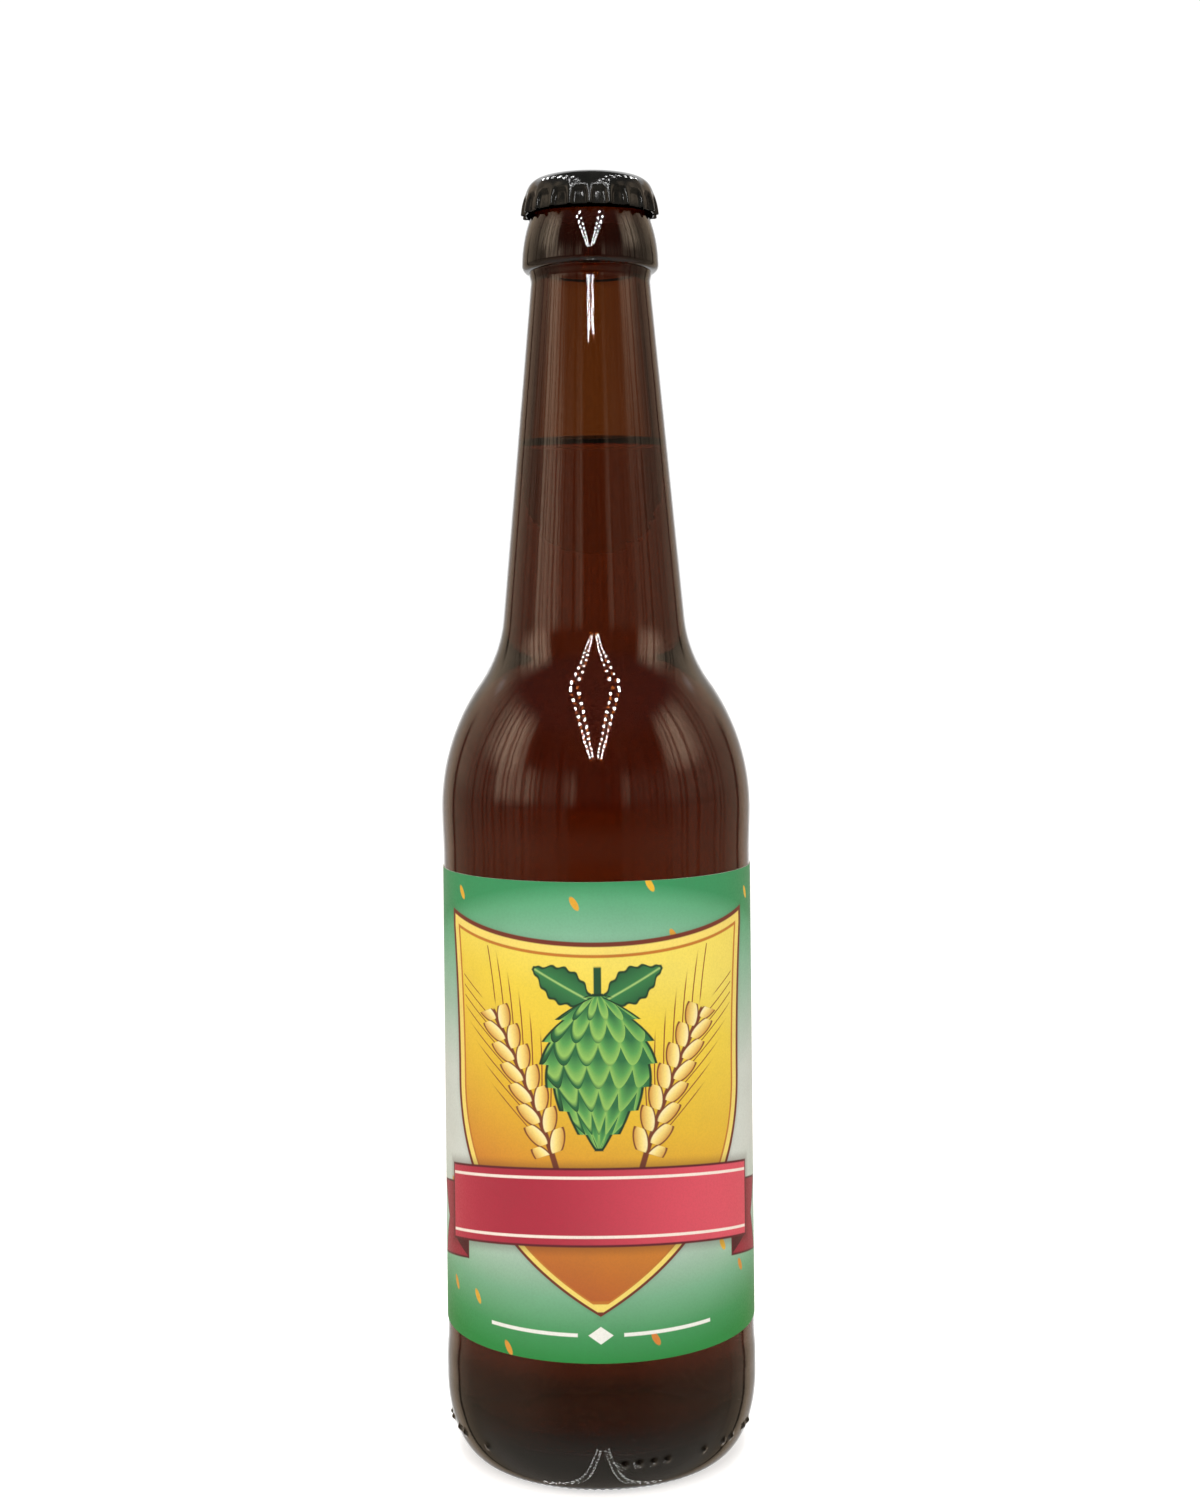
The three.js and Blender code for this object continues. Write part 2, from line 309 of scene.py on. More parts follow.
FLOOR_HALF_MM = 6000.0
FLOOR_SHADE = 0.9
FLOOR_ROUGHNESS = 0.6
FLOOR_GLOW = 0.65
floor_mesh = bpy.data.meshes.new("floor")
floor_corners = [(-1, -1), (1, -1), (1, 1), (-1, 1)]
floor_points = [(x * FLOOR_HALF_MM * MM, y * FLOOR_HALF_MM * MM, 0) for x, y in floor_corners]
floor_mesh.from_pydata(floor_points, [], [(0, 1, 2, 3)])
floor = bpy.data.objects.new("floor", floor_mesh)
floor.visible_glossy = False
bpy.context.collection.objects.link(floor)
floor_paint = new_look("floor_paint", {
    "Base Color": grey(FLOOR_SHADE),
    "Roughness": FLOOR_ROUGHNESS,
    "Emission Color": grey(1.0),
    "Emission Strength": FLOOR_GLOW,
})[0]
floor_mesh.materials.append(floor_paint)


# The glass bottle
# Amber glass, blown in a two-part mould that leaves a fine seam down each side. Small raised dots on the
# heel carry the mould's number code, and the ring that it stands on is knurled.
import numpy as np

FINE_FACETS = 630
FACETS = 210
BAND_RADIUS_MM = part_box("bottle")[1][0] / MM
PANEL_DEPTH_MM = 0.27
PANEL_RADIUS_MM = BAND_RADIUS_MM - PANEL_DEPTH_MM
HEEL_INSET_MM = 6.7
HEEL_RISE_MM = 15.3
BEARING_RADIUS_MM = BAND_RADIUS_MM - HEEL_INSET_MM
BEARING_WIDTH_MM = 2.6
BEARING_EDGE_MM = 0.3
PUSH_UP_MM = 4.0
LOWER_BAND_TOP_MM = 18.6
PANEL_RAMP_BELOW_MM = 6.0
PANEL_RAMP_ABOVE_MM = 10.0
SHOULDER_START_MM = 131.4
SHOULDER_ARC_MM = 44.5
NECK_ARC_MM = 27.1
NECK_TOP_RADIUS_MM = 12.37
NECK_TOP_MM = 240.1
NECK_TAPER = math.radians(5.27)
NECK_RINGS = 12
COLLAR_BOTTOM_MM = 242.1
COLLAR_RADIUS_MM = 14.2
COLLAR_EDGE_ARC_MM = 1.5
COLLAR_FACE_ARC_MM = 28.0
COLLAR_TOP_MM = 254.2
GROOVE_TOP_MM = 254.9
BEAD_RADIUS_MM = 12.85
BEAD_HEIGHT_MM = 256.6
LIP_RADIUS_MM = 10.4
LIP_HEIGHT_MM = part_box("bottle")[1][2] / MM
MOUTH_RADIUS_MM = 8.3
MOUTH_ROUND_MM = 1.1
BODY_WALL_MM = 2.6
NECK_WALL_MM = 2.9
BASE_THICKNESS_MM = 6.2
INNER_CORNER_WIDTH_MM = 8.0
INNER_CORNER_RISE_MM = 10.0
INNER_DOME_MM = 2.2


def arc(centre_r, centre_z, along_r, along_z, start_deg, end_deg, steps):
    """Points (radius, height) along an elliptical arc, both ends included."""
    turns = np.radians(np.linspace(start_deg, end_deg, steps + 1))
    return np.column_stack([centre_r + along_r * np.cos(turns), centre_z + along_z * np.sin(turns)])


def line(start, end, steps):
    return np.linspace(start, end, steps + 1)


def eased(share):
    """A share from 0 to 1 that starts and ends gently."""
    return share * share * (3 - 2 * share)


def s_ramp(start, end, steps):
    """Points along an S-shaped step from one radius and height to another."""
    share = np.linspace(0, 1, steps + 1)
    radii = start[0] + (end[0] - start[0]) * eased(share)
    return np.column_stack([radii, start[1] + (end[1] - start[1]) * share])


def dome(crown, edge_r, edge_z, steps):
    """Points along a parabola from a crown on the axis out to an edge."""
    share = np.linspace(0, 1, steps + 1)
    return np.column_stack([edge_r * share, crown + (edge_z - crown) * share ** 2])


def shoulder_and_neck(body_r, neck_top_r, convex_arc, concave_arc):
    """A convex arc, a concave arc and a straight cone, each tangent to the next. The cone's rings lie closer
    together towards its top."""
    convex_centre = np.array([body_r - convex_arc, SHOULDER_START_MM])
    neck_top = np.array([neck_top_r, NECK_TOP_MM])
    down_neck = np.array([math.sin(NECK_TAPER), -math.cos(NECK_TAPER)])
    out_of_neck = np.array([math.cos(NECK_TAPER), math.sin(NECK_TAPER)])
    to_neck_side = neck_top + concave_arc * out_of_neck - convex_centre
    along = to_neck_side @ down_neck
    spare = to_neck_side @ to_neck_side - (convex_arc + concave_arc) ** 2
    neck_length = -along - math.sqrt(along ** 2 - spare)
    cone_foot = neck_top + neck_length * down_neck
    concave_centre = cone_foot + concave_arc * out_of_neck
    join_deg = math.degrees(math.atan2(*(concave_centre - convex_centre)[::-1]))
    cone_deg = 180 + math.degrees(NECK_TAPER)
    up_cone = np.linspace(0, 1, NECK_RINGS + 1)[1:, None]
    closing_up = up_cone * (2 - up_cone)
    return np.vstack([
        arc(*convex_centre, convex_arc, convex_arc, 0, join_deg, steps=22),
        arc(*concave_centre, concave_arc, concave_arc, 180 + join_deg, cone_deg, steps=14)[1:],
        cone_foot + (neck_top - cone_foot) * closing_up,
    ])


def inside_of_glass(gap):
    """The inside of the glass, drawn in by a gap, from the middle of its floor to the top of the neck."""
    radius = BAND_RADIUS_MM - BODY_WALL_MM - gap
    floor_z = BASE_THICKNESS_MM + gap
    corner_r = radius - INNER_CORNER_WIDTH_MM
    corner_z = floor_z + INNER_CORNER_RISE_MM
    neck_top_r = NECK_TOP_RADIUS_MM - (NECK_WALL_MM + gap) / math.cos(NECK_TAPER)
    convex_arc = SHOULDER_ARC_MM - BODY_WALL_MM - gap
    concave_arc = NECK_ARC_MM + NECK_WALL_MM + gap
    return np.vstack([
        dome(floor_z + INNER_DOME_MM, corner_r, floor_z, steps=8),
        arc(corner_r, corner_z, INNER_CORNER_WIDTH_MM, INNER_CORNER_RISE_MM, -90, 0, steps=14)[1:],
        line((radius, corner_z), (radius, SHOULDER_START_MM), steps=6)[1:-1],
        shoulder_and_neck(radius, neck_top_r, convex_arc, concave_arc),
    ])


def turned(name, outline, facets):
    """A closed mesh turned from an outline that starts and ends on the axis. Each ring of it has its own
    number of facets, and rings of unlike numbers are joined by wider faces. Angles run from -Y."""
    rings = []
    places = []
    start = 1
    for (radius, height), count in zip(outline[1:-1], facets[1:-1]):
        turns = np.linspace(0, 2 * math.pi, count, endpoint=False)
        ring = np.column_stack([radius * np.sin(turns), -radius * np.cos(turns), np.full(count, height)])
        rings.append(ring)
        places.append((start, count))
        start += count
    first = (0, 0, outline[0][1])
    last = (0, 0, outline[-1][1])
    points = np.vstack([[first], *rings, [last]]) * MM
    low, count = places[0]
    faces = [(0, low + (j + 1) % count, low + j) for j in range(count)]
    for (low, low_count), (high, high_count) in zip(places, places[1:]):
        shared = math.gcd(low_count, high_count)
        low_each = low_count // shared
        high_each = high_count // shared
        for j in range(shared):
            under = [low + (j * low_each + k) % low_count for k in range(low_each + 1)]
            over = [high + (j * high_each + k) % high_count for k in range(high_each + 1)]
            faces.append(tuple(under + over[::-1]))
    low, count = places[-1]
    faces += [(len(points) - 1, low + j, low + (j + 1) % count) for j in range(count)]
    mesh = bpy.data.meshes.new(name)
    mesh.from_pydata(points.tolist(), [], faces)
    return mesh


def points_round_axis(mesh):
    """A mesh's points in millimetres, with each one's distance from the axis and its turn from -Y."""
    points = np.empty(len(mesh.vertices) * 3)
    mesh.vertices.foreach_get("co", points)
    points = points.reshape(-1, 3) / MM
    return points, np.hypot(points[:, 0], points[:, 1]), np.arctan2(points[:, 0], -points[:, 1])


def push_out(mesh, points, radius, rise):
    """Moves points away from the axis, each by its own rise, and gives them back to their mesh."""
    on_axis = radius == 0
    grown = (radius + rise) / np.where(on_axis, 1, radius)
    points[:, :2] *= np.where(on_axis, 1, grown)[:, None]
    mesh.vertices.foreach_set("co", (points * MM).ravel())


def piece(name, mesh, sharp_deg=35):
    """An object of a mesh, smooth but for edges sharper than an angle."""
    mesh.update()
    mesh.polygons.foreach_set("use_smooth", [True] * len(mesh.polygons))
    mesh.set_sharp_from_angle(angle=math.radians(sharp_deg))
    made = bpy.data.objects.new(name, mesh)
    bpy.context.collection.objects.link(made)
    return made


# Outline: from the middle of the base out to the heel, up to the mouth and down the inside
DOT_ROW_DEG = (-40, -27)
FINE_END_DEG = -22
bearing_inner_mm = BEARING_RADIUS_MM - BEARING_WIDTH_MM
base = np.vstack([
    dome(PUSH_UP_MM, bearing_inner_mm - BEARING_EDGE_MM, BEARING_EDGE_MM, steps=10),
    arc(bearing_inner_mm, BEARING_EDGE_MM, BEARING_EDGE_MM, BEARING_EDGE_MM, -150, -90, steps=3),
    line((bearing_inner_mm, 0), (BEARING_RADIUS_MM, 0), steps=4)[1:-1],
])
heel = (BEARING_RADIUS_MM, HEEL_RISE_MM, HEEL_INSET_MM, HEEL_RISE_MM)
heel_foot = np.vstack([
    arc(*heel, -90, DOT_ROW_DEG[0], steps=22),
    arc(*heel, *DOT_ROW_DEG, steps=20)[1:],
    arc(*heel, DOT_ROW_DEG[1], FINE_END_DEG, steps=3)[1:],
])
heel_head = arc(*heel, FINE_END_DEG, 0, steps=8)[1:]
panel_bottom = LOWER_BAND_TOP_MM + PANEL_RAMP_BELOW_MM
panel_top = SHOULDER_START_MM - PANEL_RAMP_ABOVE_MM
body_and_neck = np.vstack([
    s_ramp((BAND_RADIUS_MM, LOWER_BAND_TOP_MM), (PANEL_RADIUS_MM, panel_bottom), steps=8),
    line((PANEL_RADIUS_MM, panel_bottom), (PANEL_RADIUS_MM, panel_top), steps=8)[1:-1],
    s_ramp((PANEL_RADIUS_MM, panel_top), (BAND_RADIUS_MM, SHOULDER_START_MM), steps=8)[:-1],
    shoulder_and_neck(BAND_RADIUS_MM, NECK_TOP_RADIUS_MM, SHOULDER_ARC_MM, NECK_ARC_MM),
])
collar_edge_r = COLLAR_RADIUS_MM - COLLAR_EDGE_ARC_MM
collar_edge_z = COLLAR_BOTTOM_MM + COLLAR_EDGE_ARC_MM
collar_face_r = COLLAR_RADIUS_MM - COLLAR_FACE_ARC_MM
collar_face_deg = math.degrees(math.asin((COLLAR_TOP_MM - collar_edge_z) / COLLAR_FACE_ARC_MM))
face_curve = (COLLAR_FACE_ARC_MM, COLLAR_FACE_ARC_MM)
collar = np.vstack([
    s_ramp((NECK_TOP_RADIUS_MM, NECK_TOP_MM), (collar_edge_r, COLLAR_BOTTOM_MM), steps=6)[1:],
    arc(collar_edge_r, collar_edge_z, COLLAR_EDGE_ARC_MM, COLLAR_EDGE_ARC_MM, -90, 0, steps=10)[1:],
    arc(collar_face_r, collar_edge_z, *face_curve, 0, collar_face_deg, steps=12)[1:],
])
lip_width = BEAD_RADIUS_MM - LIP_RADIUS_MM
lip_rise = LIP_HEIGHT_MM - BEAD_HEIGHT_MM
bead = np.vstack([
    s_ramp((collar[-1][0], GROOVE_TOP_MM), (BEAD_RADIUS_MM, BEAD_HEIGHT_MM), steps=6),
    arc(LIP_RADIUS_MM, BEAD_HEIGHT_MM, lip_width, lip_rise, 0, 90, steps=10)[1:],
])
mouth_edge_r = MOUTH_RADIUS_MM + MOUTH_ROUND_MM
mouth_edge_z = LIP_HEIGHT_MM - MOUTH_ROUND_MM
mouth = arc(mouth_edge_r, mouth_edge_z, MOUTH_ROUND_MM, MOUTH_ROUND_MM, 90, 180, steps=6)
inside = inside_of_glass(0)[::-1]
bore_bottom = NECK_TOP_MM + (inside[0][0] - MOUTH_RADIUS_MM) / math.tan(NECK_TAPER)
outer_side = np.vstack([base, heel_foot, heel_head, body_and_neck, collar, bead])
glass_outline = np.vstack([outer_side, mouth, [(MOUTH_RADIUS_MM, bore_bottom)], inside])
fine_rings = len(base) + len(heel_foot)
ring_facets = [FINE_FACETS] * fine_rings + [FACETS] * (len(glass_outline) - fine_rings)
glass_mesh = turned("bottle_glass", glass_outline, ring_facets)

# Relief: knurls under the heel, a row of dots above them and the seams of the mould
KNURLS = 105
KNURL_DEPTH_MM = 0.4
KNURL_REACH_MM = 1.1
KNURL_INWARD_MM = 0.2
DOT_HEIGHT_MM = 6.9
DOT_RADIUS_MM = 0.62
DOT_RISE_MM = 0.55
DOT_PITCH_DEG = 5.35
DOT_START_DEG = 8.1
DOT_CODE = (0, 1, 2, 3, 6, 8, 9, 11, 12, 48, 50, 51, 53, 54, 57)
SEAM_RISE_MM = 0.06
SEAM_WIDTH_MM = 0.35
SEAM_FOOT_MM = 2.0
glass_points, glass_radius, glass_turn = points_round_axis(glass_mesh)
glass_z = glass_points[:, 2]
outside = np.arange(len(glass_points)) < 1 + sum(ring_facets[1:len(outer_side)])
knurled = outside & (glass_z < KNURL_REACH_MM) & (glass_radius > bearing_inner_mm - KNURL_INWARD_MM)
notch = (1 - np.cos(KNURLS * glass_turn)) / 2 * KNURL_DEPTH_MM
glass_z[knurled] += (notch * (1 - glass_z / KNURL_REACH_MM))[knurled]
relief = np.zeros(len(glass_points))


def across_from(turn):
    """How far round the glass each of its points is from a turn, in millimetres."""
    return glass_radius * np.angle(np.exp(1j * (glass_turn - turn)))


for slot in DOT_CODE:
    dot_across = across_from(math.radians(DOT_START_DEG + slot * DOT_PITCH_DEG))
    away = np.hypot(dot_across, glass_z - DOT_HEIGHT_MM) / DOT_RADIUS_MM
    relief = np.maximum(relief, DOT_RISE_MM * np.exp(-(away ** 2)))
on_seam = (glass_z > SEAM_FOOT_MM) & (glass_z < COLLAR_BOTTOM_MM)
for seam_turn in (-math.pi / 2, math.pi / 2):
    away = across_from(seam_turn) / SEAM_WIDTH_MM
    relief = np.maximum(relief, SEAM_RISE_MM * np.exp(-(away ** 2)) * on_seam)
push_out(glass_mesh, glass_points, glass_radius, relief * outside)
bottle_glass = piece("bottle_glass", glass_mesh)


def noise(tree, scale, detail=2.0, stretch=(1, 1, 1)):
    """Smooth random values over the piece, about so many bumps to the metre."""
    place = tree.nodes.new("ShaderNodeTexCoord")
    mapping = tree.nodes.new("ShaderNodeMapping")
    mapping.inputs["Scale"].default_value = stretch
    tree.links.new(place.outputs["Object"], mapping.inputs["Vector"])
    node = tree.nodes.new("ShaderNodeTexNoise")
    node.inputs["Scale"].default_value = scale
    node.inputs["Detail"].default_value = detail
    tree.links.new(mapping.outputs[0], node.inputs["Vector"])
    return Amount(tree, node.outputs["Fac"])


def bumps(tree, height, depth_mm):
    """A bumpy surface from heights between 0 and 1, so many millimetres deep."""
    node = tree.nodes.new("ShaderNodeBump")
    node.inputs["Strength"].default_value = 1.0
    node.inputs["Distance"].default_value = depth_mm * MM
    feed(tree, node.inputs["Height"], height)
    return node.outputs["Normal"]


def clear_look(name, ior, takes_per_m):
    """Clear stuff that takes up light along its way, so many times over in a metre of each colour."""
    material, tree, shader = new_look(name, {
        "Base Color": grey(1.0),
        "Transmission Weight": 1.0,
        "IOR": ior,
        "Roughness": 0.0,
    })
    soak = tree.nodes.new("ShaderNodeVolumeAbsorption")
    density = max(takes_per_m)
    soak.inputs["Density"].default_value = density
    soak.inputs["Color"].default_value = tuple(1 - taken / density for taken in takes_per_m) + (1.0,)
    tree.links.new(soak.outputs[0], tree.nodes["Material Output"].inputs["Volume"])
    return material, tree, shader


GLASS_IOR = 1.52
GLASS_TAKES_PER_M = (430.0, 690.0, 1080.0)
WAVES_PER_M = 55
WAVE_STRETCH = (1, 1, 0.35)
RIPPLES_PER_M = 240
RIPPLE_SHARE = 0.16
WAVE_DEPTH_MM = 0.12
glass_look, glass_tree, glass_finish = clear_look("amber_glass", GLASS_IOR, GLASS_TAKES_PER_M)
ripples = noise(glass_tree, RIPPLES_PER_M, detail=1.0) * RIPPLE_SHARE
waves = noise(glass_tree, WAVES_PER_M, detail=1.0, stretch=WAVE_STRETCH) + ripples
feed(glass_tree, glass_finish.inputs["Normal"], bumps(glass_tree, waves, WAVE_DEPTH_MM))
glass_mesh.materials.append(glass_look)
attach(bottle_glass, "root")
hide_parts("bottle")


# The beer
# A clear amber drink that fills the bottle to part way up the neck. It reaches just into the glass, so no
# air shows between them, and its surface climbs a little where it meets the wall.
BEER_INTO_WALL_MM = 0.08
FILL_LEVEL_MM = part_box("beer")[1][2] / MM
MENISCUS_MM = 2.1
MENISCUS_REACH_MM = 1.6
BELOW_BRIM_MM = 2.0
SURFACE_RINGS = 24
SURFACE_CROWDING = 1.6
beer_side = inside_of_glass(-BEER_INTO_WALL_MM)
neck_inside_r = beer_side[-1][0]
brim_z = FILL_LEVEL_MM + MENISCUS_MM
brim_r = neck_inside_r + (NECK_TOP_MM - brim_z) * math.tan(NECK_TAPER)
below_brim = beer_side[beer_side[:, 1] < brim_z - BELOW_BRIM_MM]
inward = np.linspace(0, 1, SURFACE_RINGS + 1) ** SURFACE_CROWDING
surface_r = brim_r * (1 - inward)
surface_z = FILL_LEVEL_MM + MENISCUS_MM * np.exp(-(brim_r - surface_r) / MENISCUS_REACH_MM)
beer_outline = np.vstack([below_brim, np.column_stack([surface_r, surface_z])])
beer_mesh = turned("beer_fill", beer_outline, [FACETS] * len(beer_outline))
beer_fill = piece("beer_fill", beer_mesh)

BEER_IOR = 1.34
BEER_TAKES_PER_M = (16.0, 35.0, 36.0)
beer_mesh.materials.append(clear_look("beer", BEER_IOR, BEER_TAKES_PER_M)[0])
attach(beer_fill, "root")
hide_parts("beer")


# The label
# One sheet of coated paper, printed in green, gold and crimson, wetted with glue and wiped round the panel.
# It wraps three quarters of the body. The print is a shield with hops, barley and a ribbon.
LABEL_LOW_MM, LABEL_HIGH_MM = (corner[2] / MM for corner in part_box("label"))
LABEL_HEIGHT_MM = LABEL_HIGH_MM - LABEL_LOW_MM
LABEL_HALF_TURN = math.radians(135)
GLUE_MM = 0.04
LABEL_INNER_MM = PANEL_RADIUS_MM + GLUE_MM
LABEL_THICKNESS_MM = 0.11
LABEL_OUTER_MM = LABEL_INNER_MM + LABEL_THICKNESS_MM
LABEL_LENGTH_MM = 2 * LABEL_HALF_TURN * LABEL_OUTER_MM
LABEL_COLUMNS = 300
LABEL_ROWS = 24


def label_sheet():
    """A closed thin shell round the panel, with a print map that runs from 0 to 1 along and up it."""
    turns = np.linspace(-LABEL_HALF_TURN, LABEL_HALF_TURN, LABEL_COLUMNS + 1)
    heights = np.linspace(LABEL_LOW_MM, LABEL_HIGH_MM, LABEL_ROWS + 1)
    turn_grid, height_grid = np.meshgrid(turns, heights)
    layers = []
    for sheet_r in (LABEL_OUTER_MM, LABEL_INNER_MM):
        layer = np.dstack([sheet_r * np.sin(turn_grid), -sheet_r * np.cos(turn_grid), height_grid])
        layers.append(layer.reshape(-1, 3))
    across = LABEL_COLUMNS + 1
    behind = len(layers[0])
    front_faces = []
    back_faces = []
    for row in range(LABEL_ROWS):
        for column in range(LABEL_COLUMNS):
            a = row * across + column
            quad = (a, a + 1, a + across + 1, a + across)
            front_faces.append(quad)
            back_faces.append(tuple(behind + corner for corner in reversed(quad)))
    border = [*range(across), *range(2 * across - 1, behind, across)]
    border += [*range(behind - 2, behind - across - 1, -1), *range(behind - 2 * across, 0, -across)]
    edge_faces = [(b, a, behind + a, behind + b) for a, b in zip(border, border[1:] + border[:1])]
    mesh = bpy.data.meshes.new("paper_label")
    mesh.from_pydata((np.vstack(layers) * MM).tolist(), [], front_faces + back_faces + edge_faces)
    look_places = [0] * len(front_faces) + [1] * (len(back_faces) + len(edge_faces))
    mesh.polygons.foreach_set("material_index", look_places)
    along_grid = (turn_grid.ravel() + LABEL_HALF_TURN) / (2 * LABEL_HALF_TURN)
    up_grid = (height_grid.ravel() - LABEL_LOW_MM) / LABEL_HEIGHT_MM
    print_map = mesh.uv_layers.new(name="print")
    corners = np.empty(len(mesh.loops), dtype=int)
    mesh.loops.foreach_get("vertex_index", corners)
    corners %= behind
    print_map.data.foreach_set("uv", np.column_stack([along_grid[corners], up_grid[corners]]).ravel())
    return mesh


label_mesh = label_sheet()
paper_label = piece("paper_label", label_mesh)

PRINT_GLOSS = 0.35
print_look, ink, print_finish = new_look("label_print", {"Specular IOR Level": PRINT_GLOSS})
print_place = ink.nodes.new("ShaderNodeUVMap")
print_place.uv_map = "print"
along, up = directions(ink, print_place.outputs["UV"])[:2]
right = (along - 0.5) * LABEL_LENGTH_MM
height = up * LABEL_HEIGHT_MM
side = abs(right)


def linear(red, green, blue):
    """The light values of a colour given as screen values from 0 to 255."""
    shares = (red / 255, green / 255, blue / 255)
    return tuple(c / 12.92 if c <= 0.04045 else ((c + 0.055) / 1.055) ** 2.4 for c in shares) + (1.0,)


def clip(amount):
    return amount.work("MAXIMUM", 0.0).work("MINIMUM", 1.0)


def within(edge, soft=0.14):
    """The share of ink inside an outline, from how far outside it a place is, in millimetres."""
    return edge.ramp(soft, -soft)


def between(amount, low, high, soft):
    """The share of ink where an amount lies between two limits."""
    return amount.ramp(low - soft, low + soft) * amount.ramp(high + soft, high - soft)


def both(*shares):
    """Where all of several shares are full."""
    result = shares[0]
    for share in shares[1:]:
        result = result * share
    return result


def overlap(*edges):
    """The outline of what lies inside all of several outlines."""
    result = edges[0]
    for edge in edges[1:]:
        result = result.work("MAXIMUM", edge)
    return result


def leaning(foot_mm, lean):
    """Places measured across and along a line that leans out from a foot, on the left as on the right."""
    out = side - foot_mm[0]
    rise = height - foot_mm[1]
    return out * math.cos(lean) - rise * math.sin(lean), out * math.sin(lean) + rise * math.cos(lean)


# Ground: green at the top and bottom edges, deeper towards the sides, fading to a pale middle
GROUND_SIDE_MM = 40.0
GROUND_HEAD = (0.50, 0.85)
GROUND_HEAD_PULL = 0.09
GROUND_FOOT = (0.30, 0.05)
GROUND_FOOT_PULL = 0.03
side_pull = (side / GROUND_SIDE_MM) ** 2.0
head_pull = side_pull * up.ramp(*GROUND_HEAD) * GROUND_HEAD_PULL
foot_pull = side_pull * up.ramp(*GROUND_FOOT) * GROUND_FOOT_PULL
paper = clip(up + head_pull - foot_pull).colours(
    (0.0, linear(24, 142, 60)), (0.05, linear(60, 154, 88)), (0.13, linear(118, 180, 140)),
    (0.24, linear(182, 206, 192)), (0.40, linear(212, 220, 214)), (0.58, linear(206, 217, 210)),
    (0.76, linear(164, 198, 178)), (0.88, linear(132, 188, 156)), (0.96, linear(92, 172, 126)),
    (1.0, linear(48, 148, 92)),
)

# Loose grains scattered over the ground, one in each of some slanted cells
CELLS_TO_MM = 0.115
CELL_SLANT = 0.6
CELL_STRETCH = 0.42
CELL_SCATTER = 0.9
CELLS_FILLED = (0.42, 0.44)
GRAIN_RADIUS = 0.085
GRAIN_EDGE = 0.012
grain_cells = ink.nodes.new("ShaderNodeTexVoronoi")
grain_cells.voronoi_dimensions = "2D"
grain_cells.inputs["Scale"].default_value = 1.0
grain_cells.inputs["Randomness"].default_value = CELL_SCATTER
grain_at = ink.nodes.new("ShaderNodeCombineXYZ")
feed(ink, grain_at.inputs[0], (right + height * CELL_SLANT) * CELLS_TO_MM)
feed(ink, grain_at.inputs[1], (height - right * CELL_SLANT) * (CELLS_TO_MM * CELL_STRETCH))
ink.links.new(grain_at.outputs[0], grain_cells.inputs["Vector"])
grain_edge = Amount(ink, grain_cells.outputs["Distance"]) - GRAIN_RADIUS
grain_pick, grain_tone = directions(ink, grain_cells.outputs["Color"])[:2]
grain_gold = blend(ink, grain_tone, linear(236, 190, 40), linear(214, 128, 40))
paper = blend(ink, within(grain_edge, GRAIN_EDGE) * grain_pick.ramp(*CELLS_FILLED), paper, grain_gold)

# Bare panels with a gold rim towards the back
BLANK_PLACE_MM = (61.0, 46.0)
BLANK_HALF_MM = (10.0, 24.0)
BLANK_ROUND_MM = 3.0
BLANK_RIM_MM = 0.6
blank_x = (abs(side - BLANK_PLACE_MM[0]) - (BLANK_HALF_MM[0] - BLANK_ROUND_MM)).work("MAXIMUM", 0.0)
blank_y = (abs(height - BLANK_PLACE_MM[1]) - (BLANK_HALF_MM[1] - BLANK_ROUND_MM)).work("MAXIMUM", 0.0)
blank_edge = (blank_x ** 2.0 + blank_y ** 2.0).work("SQRT") - BLANK_ROUND_MM
paper = blend(ink, within(blank_edge), paper, linear(190, 132, 40))
paper = blend(ink, within(blank_edge + BLANK_RIM_MM), paper, linear(238, 236, 226))

# Shield: a soft shadow, a maroon line, a gold rim and a field that deepens from yellow to amber
SHIELD_HALF_MM = 34.0
SHIELD_WAIST_MM = 52.0
SHIELD_TIP_MM = 9.0
SHIELD_TOP_MM = 81.0
SHIELD_TAPER = 2.1
SHIELD_FLARE_MM = 2.0
SHIELD_FLARE_RISE_MM = 30.0
SHIELD_TOP_DIP_MM = 4.0
SHIELD_SHADOW_MM = 1.6
SHIELD_SHADOW_SHARE = 0.35
FIELD_LOW_MM = 12.0
FIELD_RISE_MM = 66.0
FIELD_TILT = 0.004
waist_fall = clip((SHIELD_WAIST_MM - height) / (SHIELD_WAIST_MM - SHIELD_TIP_MM))
flare = clip((height - SHIELD_WAIST_MM) / SHIELD_FLARE_RISE_MM) ** 2.0 * SHIELD_FLARE_MM
shield_half = (1 - waist_fall ** SHIELD_TAPER) * SHIELD_HALF_MM + flare
shield_top = (side / SHIELD_HALF_MM) ** 2.0 * SHIELD_TOP_DIP_MM + SHIELD_TOP_MM
shield_edge = overlap(side - shield_half, height - shield_top, SHIELD_TIP_MM - height)
field = clip((height - FIELD_LOW_MM) / FIELD_RISE_MM + right * FIELD_TILT).colours(
    (0.0, linear(188, 96, 26)), (0.28, linear(214, 138, 28)), (0.55, linear(232, 188, 38)),
    (0.85, linear(240, 212, 62)), (1.0, linear(244, 224, 96)),
)
shadow_share = within(shield_edge, SHIELD_SHADOW_MM) * SHIELD_SHADOW_SHARE
paper = blend(ink, shadow_share, paper, linear(60, 84, 60))
shield_layers = (
    (0.0, linear(118, 46, 28)), (0.9, linear(246, 222, 110)), (2.4, linear(196, 120, 30)), (3.0, field))
for inset, layer_ink in shield_layers:
    paper = blend(ink, within(shield_edge + inset), paper, layer_ink)

